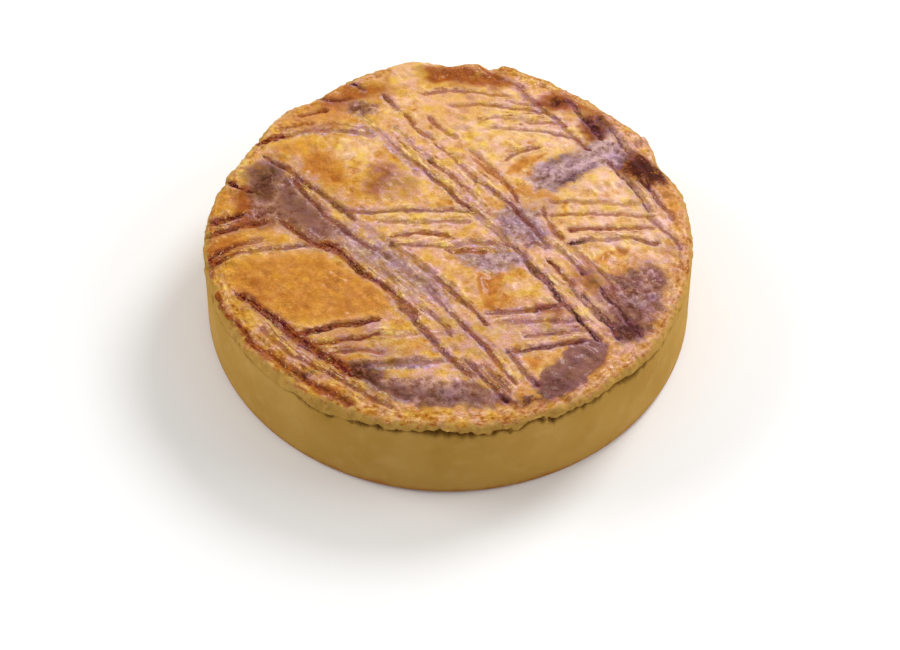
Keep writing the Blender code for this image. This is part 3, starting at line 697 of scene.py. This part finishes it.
def side_profile(azimuth):
    """The side's guiding rows, from the underside's edge up to the lid's edge loop: arrays of radius,
    height and zone, which is about how many millimetres down the outside a row lies, then how much painted
    shade darkens the crack of the seam and how crumbly the lip. The seam's rows go in where it gapes."""
    radius = outline_radius(azimuth)
    x, y = WALL_RADIUS * np.cos(azimuth), WALL_RADIUS * np.sin(azimuth)
    course = np.array(SEAM_COURSE)
    seam, gape, lip = (np.interp(np.degrees(azimuth), course[:, 0], column, period=360.0)
                       for column in course[:, 1:].T)
    gape = np.maximum(gape * (1.0 + 0.4 * ripple(x, y, 5.5, seed=33)), 0.0)
    tear = 0.5 * np.clip(gape, 0.0, 1.0) * np.abs(ripple(x, y, 4.0, seed=34))
    seam = seam + ripples(x, y, SEAM_RIPPLES)
    lip = lip + ripples(x, y, LIP_RIPPLES) * (0.7 + 0.5 * ripple(x, y, 21.0, seed=35))
    loop_radius = radius - LID_INSET
    loop_x, loop_y = loop_radius * np.cos(azimuth), loop_radius * np.sin(azimuth)
    relief = lid_relief(loop_x, loop_y)
    edge_relief = lid_relief(1.02 * loop_x, 1.02 * loop_y)
    level = np.ones_like(azimuth)
    ring = WALL_RADIUS * level
    rows = (
        (ring - 1.8, 0.0 * level, 52.0),
        (ring - 0.2, 0.9 * level, 50.0),
        (ring + FOOT_SPREAD, 2.8 * level, 48.0),
        (ring + 0.2, 13.0 * level, 38.0),
        (0.7 * ring + 0.3 * radius, 26.0 * level, 25.0),
        (0.2 * ring + 0.8 * radius - 0.1, seam - 5.0 - 0.5 * gape, 14.5),
        (radius - 0.2, seam - 0.7 - 0.35 * gape - tear, 11.2),
        (radius - 0.3 - gape, seam - 0.2 - 0.2 * gape - 0.7 * tear, 10.2),
        (radius - 0.3 - gape, seam + 0.4 + 0.2 * gape + 0.4 * tear, 9.4),
        (radius - 0.1 + lip, seam + 0.8 + 0.3 * gape + 0.8 * tear, 8.2),
        (radius - 0.6 + lip, RIM_HEIGHT - 1.6 + 0.3 * edge_relief, 5.0),
        (radius - 2.4 + 0.5 * lip, RIM_HEIGHT - 0.1 + 0.8 * edge_relief, 3.0),
        (loop_radius, lid_height(loop_x, loop_y), 0.0),
    )
    radii = np.array([row[0] for row in rows])
    heights = np.array([row[1] for row in rows])
    zones = np.array([row[2] * level for row in rows])
    # Painted shade in the seam's crack, darker where it gapes
    crack_shades = np.exp(-((zones - SEAM_ZONE) ** 2)) * np.clip(0.5 * gape, 0.0, 1.0)
    lips = np.clip(0.25 + 0.4 * gape, 0.0, 0.9) * np.ones_like(zones)
    return radii, heights, zones, crack_shades, lips


def between_rows(rows):
    """Smooth rows between guiding rows: a Catmull-Rom curve up each column, in ROWS_PER_BAND steps."""
    padded = np.concatenate([rows[:1], rows, rows[-1:]])
    smooth = []
    for band, steps in enumerate(ROWS_PER_BAND):
        before, start, end, after = padded[band : band + 4]
        for t in np.arange(steps) / steps:
            bend = 2.0 * before - 5.0 * start + 4.0 * end - after
            twist = 3.0 * start - before - 3.0 * end + after
            smooth.append(start + 0.5 * ((end - before) * t + bend * t**2 + twist * t**3))
    return np.array(smooth)


def disc_grid(cells, heading):
    """A square grid bent onto the unit disc, its rows turned to this heading in degrees. Grid place a, b
    goes to a sqrt(1 - b * b / 2), b sqrt(1 - a * a / 2)."""
    steps = np.linspace(-1.0, 1.0, cells + 1)
    a, b = np.meshgrid(steps, steps)
    x, y = a * np.sqrt(1.0 - 0.5 * b * b), b * np.sqrt(1.0 - 0.5 * a * a)
    turn = np.radians(heading)
    return x * np.cos(turn) - y * np.sin(turn), x * np.sin(turn) + y * np.cos(turn)


def grid_quads(size):
    """The four corners of each cell of a square grid of vertex indices, anticlockwise."""
    index = np.arange(size * size).reshape(size, size)
    corners = (index[:-1, :-1], index[:-1, 1:], index[1:, 1:], index[1:, :-1])
    return np.stack([corner.ravel() for corner in corners], axis=1)


def grid_border(size):
    """Indices round a square grid's edge, anticlockwise from the corner at +X, -Y."""
    index = np.arange(size * size).reshape(size, size)
    return np.concatenate([index[:-1, -1], index[-1, :0:-1], index[:0:-1, 0], index[0, :-1]])


def side_quads(rings):
    """Quads between rings of vertex indices, each ring one step further up the side."""
    below, above = rings[:-1], rings[1:]
    corners = (below, np.roll(below, -1, axis=1), np.roll(above, -1, axis=1), above)
    return np.stack([corner.ravel() for corner in corners], axis=1)


def mesh_from(name, vertices, quads, base):
    """A mesh of quads and one many-cornered base."""
    mesh = bpy.data.meshes.new(name)
    corners = np.concatenate([quads.ravel(), base]).astype(np.int32)
    starts = np.arange(len(quads) + 1, dtype=np.int32) * 4
    mesh.vertices.add(len(vertices))
    mesh.vertices.foreach_set("co", vertices.astype(np.float32).ravel())
    mesh.loops.add(len(corners))
    mesh.loops.foreach_set("vertex_index", corners)
    mesh.polygons.add(len(starts))
    mesh.polygons.foreach_set("loop_start", starts)
    mesh.update(calc_edges=True)
    mesh.validate()
    return mesh


def give(mesh, name, *parts):
    """Stores three numbers at each vertex for the finish to read."""
    attribute = mesh.attributes.new(name, "FLOAT_VECTOR", "POINT")
    attribute.data.foreach_set("vector", np.stack(parts, axis=1).astype(np.float32).ravel())


def cake_mesh():
    """The cake's skin: the lid's grid, laid out from the middle to its edge loop, and the side's rows from
    there down to the flat base. It is scaled in height to the top of the solid."""
    unit_x, unit_y = disc_grid(LID_CELLS, LONG_HEADING)
    unit_x, unit_y = unit_x.ravel(), unit_y.ravel()
    azimuth = np.arctan2(unit_y, unit_x)
    share = np.hypot(unit_x, unit_y)
    plain = WALL_RADIUS - LID_INSET
    reach = share * (plain + (outline_radius(azimuth) - WALL_RADIUS) * share**6)
    lid_x, lid_y = reach * np.cos(azimuth), reach * np.sin(azimuth)
    lid = np.stack([lid_x, lid_y, lid_height(lid_x, lid_y)], axis=1)

    border = grid_border(LID_CELLS + 1)
    around = azimuth[border]
    radii, heights, zones, crack_shades, lips = (between_rows(rows) for rows in side_profile(around))
    ring_x, ring_y = WALL_RADIUS * np.cos(around), WALL_RADIUS * np.sin(around)
    crumble = ripple(ring_x + 2.0 * heights, ring_y - heights, 4.2, seed=36)
    crumble = crumble + ripple(ring_x - 2.0 * heights, ring_y + heights, 3.4, seed=37)
    radii = radii + 0.13 * crumble * np.clip(1.2 - np.abs(zones - LIP_ZONE) / 4.0, 0.0, 1.0)
    radii = np.minimum(radii, WALL_RADIUS + FOOT_SPREAD)
    side = np.stack([radii * np.cos(around), radii * np.sin(around), heights], axis=2).reshape(-1, 3)
    rings = len(lid) + np.arange(len(side)).reshape(len(radii), len(around))
    quads = np.concatenate([grid_quads(LID_CELLS + 1), side_quads(np.vstack([rings, border]))])
    vertices = np.concatenate([lid, side])
    vertices[:, 2] *= TOP_HEIGHT / vertices[:, 2].max()
    mesh = mesh_from("baked_cake", vertices * METRES_PER_MM, quads, rings[0][::-1])

    x, y = vertices[:, 0], vertices[:, 1]
    fields = patch_fields(x, y)
    give(mesh, "browned", fields["burnt"], fields["charred"], fields["red"])
    give(mesh, "glazed", fields["pale"], fields["pool"], fields["bloom_and_sheen"])
    x, y = wavered(x, y)
    *long_marks, long_hue = nearest_marks(x, y, LONG_LINES)
    *cross_marks, cross_hue = nearest_marks(x, y, CROSS_LINES)
    give(mesh, "long_lines", *long_marks)
    give(mesh, "cross_lines", *cross_marks)
    give(mesh, "ridges", crowding(x, y, LONG_LINES), crowding(x, y, CROSS_LINES), fields["crumbs"])
    inward = np.hypot(lid_x, lid_y) - outline_radius(azimuth) + LID_INSET
    zone = np.concatenate([inward, zones.ravel()])
    crack = np.concatenate([np.zeros_like(inward), crack_shades.ravel()])
    lip = np.concatenate([np.zeros_like(inward), lips.ravel()])
    give(mesh, "sides", zone, crack, lip)
    give(mesh, "hues", long_hue, cross_hue, fields["smoked"])
    return mesh


class Finish:
    """A material's nodes. Each call adds one node and returns its output, so a finish reads as a sum."""

    def __init__(self, name):
        self.material = bpy.data.materials.new(name)
        self.material.use_nodes = True
        self.nodes = self.material.node_tree.nodes
        self.links = self.material.node_tree.links
        self.inputs = self.nodes["Principled BSDF"].inputs

    def put(self, socket, value):
        if isinstance(value, bpy.types.NodeSocket):
            self.links.new(value, socket)
        elif socket.type == "RGBA":
            socket.default_value = (*value, 1.0)
        else:
            socket.default_value = value

    def add(self, kind, inputs, **settings):
        node = self.nodes.new("ShaderNode" + kind)
        for name, value in settings.items():
            setattr(node, name, value)
        for key, value in inputs.items():
            self.put(node.inputs[key], value)
        return node

    def maths(self, operation, first, second):
        return self.add("Math", {0: first, 1: second}, operation=operation).outputs[0]

    def product(self, first, second):
        return self.maths("MULTIPLY", first, second)

    def larger(self, first, second):
        return self.maths("MAXIMUM", first, second)

    def total(self, *terms):
        """The sum of values, each given as (value, weight)."""
        result = 0.0
        for value, weight in terms:
            result = self.add("Math", {0: value, 1: weight, 2: result}, operation="MULTIPLY_ADD").outputs[0]
        return result

    def step(self, value, start, end, low=0.0, high=1.0):
        """Goes smoothly from low to high as the value goes from start to end."""
        inputs = {"Value": value, "From Min": start, "From Max": end, "To Min": low, "To Max": high}
        return self.add("MapRange", inputs, interpolation_type="SMOOTHSTEP").outputs[0]

    def patch(self, field, noise, most):
        """How far a patch covers: its field, more or less of it as the noise goes from 0.5 down to -0.5."""
        ragged = self.product(field, self.total((noise, 1.4), (1.0, 1.0)))
        return self.step(ragged, 0.15, 0.8, 0.0, most)

    def blend(self, share, first, second):
        return self.add("Mix", {0: share, 6: first, 7: second}, data_type="RGBA").outputs[2]

    def toned(self, share, pair):
        """The colour that lies this share of the way between a pair of colours."""
        return self.blend(share, lit(pair[0]), lit(pair[1]))

    def tinted(self, colour, share, first, second):
        """The colour times a tint that goes from the first to the second with the share."""
        inputs = {0: 1.0, 6: colour, 7: self.blend(share, first, second)}
        return self.add("Mix", inputs, data_type="RGBA", blend_type="MULTIPLY").outputs[2]

    def between(self, share, first, second):
        return self.add("Mix", {0: share, 2: first, 3: second}, data_type="FLOAT").outputs[0]

    def parts(self, name):
        """The three numbers of a vertex attribute."""
        attribute = self.add("Attribute", {}, attribute_name=name).outputs["Vector"]
        return tuple(self.add("SeparateXYZ", {0: attribute}).outputs)

    def place(self, shift):
        """The point's place in millimetres, from the object's own coordinates."""
        coordinates = self.add("TexCoord", {}).outputs["Object"]
        inputs = {0: coordinates, 1: (1.0 / METRES_PER_MM,) * 3, 2: (shift,) * 3}
        return self.add("VectorMath", inputs, operation="MULTIPLY_ADD").outputs[0]

    def grain(self, size, detail, roughness, shift):
        """Noise from 0 to 1 with lumps of this size in millimetres."""
        inputs = {"Vector": self.place(shift), "Scale": 1.0 / size, "Detail": detail, "Roughness": roughness}
        return self.spread(self.add("TexNoise", inputs).outputs[0])

    def strands(self, heading, length, width, shift):
        """Noise from 0 to 1 drawn out in strands that run at this heading in degrees."""
        inputs = {"Vector": self.place(shift), "Angle": math.radians(-heading)}
        turned = self.add("VectorRotate", inputs, rotation_type="Z_AXIS").outputs[0]
        inputs = {0: turned, 1: (1.0 / length, 1.0 / width, 1.0 / width)}
        drawn_out = self.add("VectorMath", inputs, operation="MULTIPLY").outputs[0]
        inputs = {"Vector": drawn_out, "Scale": 1.0, "Detail": 3.0, "Roughness": 0.6}
        return self.spread(self.add("TexNoise", inputs).outputs[0])

    def layers(self, length, width, shift):
        """Noise from 0 to 1 in thin layers round the rim, this long and this high in millimetres."""
        zone = self.parts("sides")[0]
        inputs = {0: self.place(0.0), 1: (1.0, 1.0, 0.0)}
        flat = self.add("VectorMath", inputs, operation="MULTIPLY").outputs[0]
        outwards = self.add("VectorMath", {0: flat}, operation="NORMALIZE").outputs[0]
        inputs = {0: outwards, 1: (WALL_RADIUS / length,) * 3, 2: (shift,) * 3}
        around = self.add("VectorMath", inputs, operation="MULTIPLY_ADD").outputs[0]
        height = self.add("CombineXYZ", {2: self.product(zone, 1.0 / width)}).outputs[0]
        place = self.add("VectorMath", {0: around, 1: height}, operation="ADD").outputs[0]
        return self.spread(self.add("TexNoise", {"Vector": place, "Scale": 1.0, "Detail": 3.0}).outputs[0])

    def spread(self, noise):
        """Blender's noise keeps near its middle; this brings it to about 0 to 1."""
        return self.total((noise, 2.4), (1.0, -0.7))

    def ramp(self, value, stops):
        """A colour from several, each given as (value, red, green, blue)."""
        node = self.add("ValToRGB", {0: value})
        elements = node.color_ramp.elements
        for index, (position, *colour) in enumerate(stops):
            element = elements[index] if index < 2 else elements.new(position)
            element.position = position
            element.color = (*lit(colour), 1.0)
        return node.outputs[0]


def srgb(colour):
    """A colour as linear light from its usual 0 to 255 values."""
    shares = [value / 255.0 for value in colour]
    return tuple(s / 12.92 if s <= 0.04045 else ((s + 0.055) / 1.055) ** 2.4 for s in shares)


def lit(colour):
    """The base colour that reads as this one in soft daylight, which adds a little gloss over it."""
    return tuple(max((part - DAYLIGHT_GLOSS) / DAYLIGHT_LEVEL, 0.004) for part in srgb(colour))


def fork_marks(finish, colour, marks, hue, streaks, speck):
    """A fork line's brown shade, its dark core and, along its right side, a painted mauve sheen: a highlight
    laid into the colour.
    """
    offset, core, sheen = marks
    ragged = finish.total((offset, 1.0), (speck, 0.8), (streaks, 0.8), (1.0, -0.8))
    away = finish.maths("ABSOLUTE", ragged, 0.0)
    beside = finish.maths("ABSOLUTE", finish.maths("ADD", ragged, 1.5), 0.0)
    broken = finish.step(finish.total((streaks, 0.5), (speck, 0.5)), 0.28, 0.62, 0.15, 1.0)
    shade = finish.product(finish.step(away, 2.4, 0.5, 0.0, 0.85), core)
    colour = finish.blend(shade, colour, finish.toned(hue, LINE_SHADE))
    # Painted sheen along the line's right side
    painted_sheen = finish.product(finish.step(beside, 1.5, 0.4, 0.0, 0.85), finish.product(sheen, broken))
    colour = finish.blend(painted_sheen, colour, finish.toned(finish.step(speck, 0.2, 0.8), PAINTED_LINE_SHEEN))
    deep = finish.product(finish.step(away, 1.35, 0.7), finish.product(core, broken))
    return finish.blend(deep, colour, finish.toned(hue, LINE_CORE))


def lid_colour(finish, noises):
    """Egg glaze from gold to burnt purple: patches and fork lines laid over one another, each with an
    edge that the noise makes ragged."""
    cloud, blotch, mottle, speck, grit, fleck = noises
    burnt, charred, red = finish.parts("browned")
    pale, pool, bloom_and_sheen = finish.parts("glazed")
    long_crowd, cross_crowd, crumbs = finish.parts("ridges")
    zone = finish.parts("sides")[0]
    *hues, smoked = finish.parts("hues")
    long_hue, cross_hue = (finish.total((hue, 1.0), (mottle, 0.8), (1.0, -0.4)) for hue in hues)
    long_strands = finish.strands(LONG_HEADING, 9.0, 1.5, 10.0)
    cross_strands = finish.strands(CROSS_HEADING, 9.0, 1.5, 30.0)
    streaks = finish.between(long_crowd, finish.between(cross_crowd, mottle, cross_strands), long_strands)
    ridged = finish.larger(long_crowd, cross_crowd)
    rim = finish.step(finish.total((zone, 1.0), (mottle, 6.0), (1.0, -3.0)), -5.0, 1.0)
    crumbly = finish.larger(rim, crumbs)
    ragged = finish.total((blotch, 0.3), (streaks, 0.45), (speck, 0.2), (1.0, -0.48))
    dusty = finish.total((mottle, 0.3), (streaks, 0.35), (speck, 0.25), (grit, 0.1))

    clouded = finish.total((cloud, 0.25), (blotch, 0.2), (mottle, 0.25), (speck, 0.2), (grit, 0.1))
    combed = finish.total((streaks, 0.7), (speck, 0.3))
    layered = finish.total((finish.layers(5.0, 1.4, 5.0), 0.45), (speck, 0.3), (mottle, 0.25))
    thick = finish.total((dusty, 1.0), (pool, -0.5), (1.0, 0.5))
    patches = (
        (pale, 0.8, finish.toned(dusty, GILDED)),
        (pool, 0.95, finish.toned(thick, AMBER)),
        (red, 0.92, finish.toned(dusty, RUSSET)),
        (burnt, 0.92, finish.ramp(finish.total((dusty, 1.4), (1.0, -0.2)), SCORCHED)),
        (smoked, 0.95, finish.toned(dusty, MAUVE_BROWN)),
        # Painted sheen over dull glaze
        (bloom_and_sheen, 0.85, finish.ramp(dusty, BLOOMED_AND_SHEEN)),
    )
    between_lines = finish.ramp(clouded, GLAZE)
    colour = finish.blend(finish.step(ridged, 0.0, 0.8), between_lines, finish.ramp(combed, COMBED_GLAZE))
    colour = finish.blend(finish.product(crumbly, 0.8), colour, finish.ramp(layered, CRUST))
    for field, most, patch_colour in patches:
        colour = finish.blend(finish.patch(field, ragged, most), colour, patch_colour)
    colour = fork_marks(finish, colour, finish.parts("cross_lines"), cross_hue, cross_strands, speck)
    colour = fork_marks(finish, colour, finish.parts("long_lines"), long_hue, long_strands, speck)
    rough = finish.between(finish.larger(ridged, crumbly), 0.15, 0.5)
    # Pale crumbs and painted glints, where the lid is rough
    crumb_glint = finish.product(finish.step(finish.total((speck, 0.6), (grit, 0.4)), 0.66, 0.95), rough)
    colour = finish.blend(crumb_glint, colour, lit(CRUMB_GLINT))
    specked = finish.total((speck, 0.7), (grit, 0.3), (streaks, 0.6), (1.0, -0.8))
    colour = finish.blend(finish.patch(charred, specked, 0.94), colour, finish.toned(dusty, COAL))

    even = finish.total((bloom_and_sheen, 0.9), (burnt, 0.6), (smoked, 0.9), (pale, 0.4))
    smooth = finish.larger(pool, even)
    varied = finish.between(finish.step(smooth, 0.1, 1.0, 1.0, 0.35), 0.5, fleck)
    across = finish.add("SeparateXYZ", {0: finish.place(0.0)}).outputs[0]
    mauve = finish.total((varied, 1.0), (across, 0.0018), (1.0, -0.03))
    return finish.tinted(colour, mauve, YELLOW_TINT, MAUVE_TINT)


def dough_colour(finish, noises):
    """Matte butter dough, browner at its foot, paler and crumbly at the lip, with painted shade inside the
    seam.
    """
    cloud, blotch, mottle, speck, grit, _ = noises
    zone, crack, lip = finish.parts("sides")
    height = finish.add("SeparateXYZ", {0: finish.place(0.0)}).outputs[2]
    colour = finish.toned(cloud, DOUGH)
    colour = finish.blend(finish.step(blotch, 0.5, 1.0, 0.0, 0.3), colour, lit(PALE_DOUGH))
    porous = finish.total((speck, 0.5), (grit, 0.3), (height, 0.012), (mottle, 0.2))
    colour = finish.blend(finish.step(porous, 0.3, 0.14, 0.0, 0.7), colour, lit(PORES))
    up_the_foot = finish.total((height, 1.0), (blotch, -3.0), (mottle, -2.0), (1.0, 2.5))
    colour = finish.blend(finish.step(up_the_foot, 5.0, 0.0, 0.0, 0.8), colour, lit(BROWNED_FOOT))
    down_the_lip = finish.total((zone, 1.0), (mottle, 3.0), (1.0, -1.5))
    crumb = finish.toned(finish.total((mottle, 0.5), (speck, 0.5)), CRUMB)
    colour = finish.blend(finish.product(lip, finish.step(down_the_lip, 12.0, 8.5)), colour, crumb)
    # Painted shade inside the seam's crack
    return finish.blend(finish.product(crack, 0.85), colour, lit(SEAM_SHADOW))


def crust_finish():
    """Baked dough: glossy glazed lid, matte side, one finish with the edge between them ragged."""
    finish = Finish("baked_crust")
    zone = finish.parts("sides")[0]
    charred = finish.parts("browned")[1]
    long_crowd, cross_crowd, crumbs = finish.parts("ridges")
    cloud = finish.grain(26.0, 2.0, 0.5, 0.0)
    blotch = finish.grain(10.0, 2.0, 0.5, 20.0)
    mottle = finish.grain(4.5, 3.0, 0.6, 50.0)
    speck = finish.grain(1.8, 2.0, 0.6, 90.0)
    grit = finish.grain(0.8, 1.0, 0.5, 130.0)
    fleck = finish.grain(5.0, 1.5, 0.4, 170.0)
    noises = (cloud, blotch, mottle, speck, grit, fleck)

    side = finish.step(finish.total((zone, 1.0), (mottle, 4.0), (speck, 2.0), (1.0, -3.0)), 2.5, 5.0)
    colour = finish.blend(side, lid_colour(finish, noises), dough_colour(finish, noises))
    finish.put(finish.inputs["Base Color"], colour)

    glazed = finish.step(speck, 0.0, 1.0, *LID_ROUGHNESS)
    finish.put(finish.inputs["Roughness"], finish.between(side, glazed, SIDE_ROUGHNESS))
    crusty = finish.larger(finish.larger(long_crowd, cross_crowd), crumbs)
    dull = finish.total((finish.larger(side, finish.larger(charred, crusty)), 1.0), (mottle, 0.4))
    finish.put(finish.inputs["Coat Weight"], finish.step(dull, 1.0, 0.0, 0.0, GLAZE_COAT))
    finish.put(finish.inputs["Coat Roughness"], COAT_ROUGHNESS)
    finish.put(finish.inputs["Specular IOR Level"], SPECULAR_LEVEL)

    coarse = finish.between(side, 1.0, 0.35)
    rough = finish.total((mottle, 0.18), (speck, 0.16), (grit, 0.15))
    relief = finish.product(rough, coarse)
    bump = finish.add("Bump", {"Strength": 1.0, "Distance": METRES_PER_MM, "Height": relief})
    finish.put(finish.inputs["Normal"], bump.outputs[0])
    return finish.material


def add_object(name, data):
    thing = bpy.data.objects.new(name, data)
    bpy.context.scene.collection.objects.link(thing)
    return thing


def add_cake():
    mesh = cake_mesh()
    mesh.materials.append(crust_finish())
    mesh.shade_smooth()
    cake = add_object("baked_cake", mesh)
    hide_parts("shortbread_cake")
    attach(cake, "root")


def add_floor():
    """A square of pale floor under the cake."""
    half = FLOOR_HALF_WIDTH
    mesh = bpy.data.meshes.new("floor")
    corners = [(-half, -half, 0.0), (half, -half, 0.0), (half, half, 0.0), (-half, half, 0.0)]
    mesh.from_pydata(corners, [], [(0, 1, 2, 3)])
    finish = Finish("pale_floor")
    finish.put(finish.inputs["Base Color"], srgb(FLOOR_COLOUR))
    finish.put(finish.inputs["Roughness"], FLOOR_ROUGHNESS)
    mesh.materials.append(finish.material)
    add_object("floor", mesh)


def aimed_at(place, target):
    return (Vector(target) - Vector(place)).to_track_quat("-Z", "Y").to_matrix().to_4x4()


def add_soft_light(name, place, size, power, colour):
    light = bpy.data.lights.new(name, "AREA")
    light.shape = "DISK"
    light.size = size
    light.energy = power
    light.color = colour
    lamp = add_object(name, light)
    lamp.matrix_world = Matrix.Translation(place) @ aimed_at(place, LIGHT_AIM)


def add_lights():
    world = bpy.data.worlds.new("studio")
    world.use_nodes = True
    backdrop = world.node_tree.nodes["Background"]
    backdrop.inputs["Color"].default_value = (*BACKDROP_COLOUR, 1.0)
    backdrop.inputs["Strength"].default_value = BACKDROP_STRENGTH
    bpy.context.scene.world = world
    for soft_light in SOFT_LIGHTS:
        add_soft_light(*soft_light)


def add_camera():
    elevation = math.radians(CAMERA_ELEVATION)
    back = Vector((0.0, -math.cos(elevation), math.sin(elevation)))
    place = Vector(CAMERA_AIM) + CAMERA_DISTANCE * back
    camera = add_object("camera", bpy.data.cameras.new("camera"))
    camera.data.lens = CAMERA_LENS
    camera.data.sensor_width = SENSOR_WIDTH
    roll = Matrix.Rotation(math.radians(CAMERA_ROLL), 4, "Z")
    camera.matrix_world = Matrix.Translation(place) @ aimed_at(place, CAMERA_AIM) @ roll
    bpy.context.scene.camera = camera


add_camera()
add_lights()
add_floor()
add_cake()
bpy.context.scene.view_settings.view_transform = "Standard"
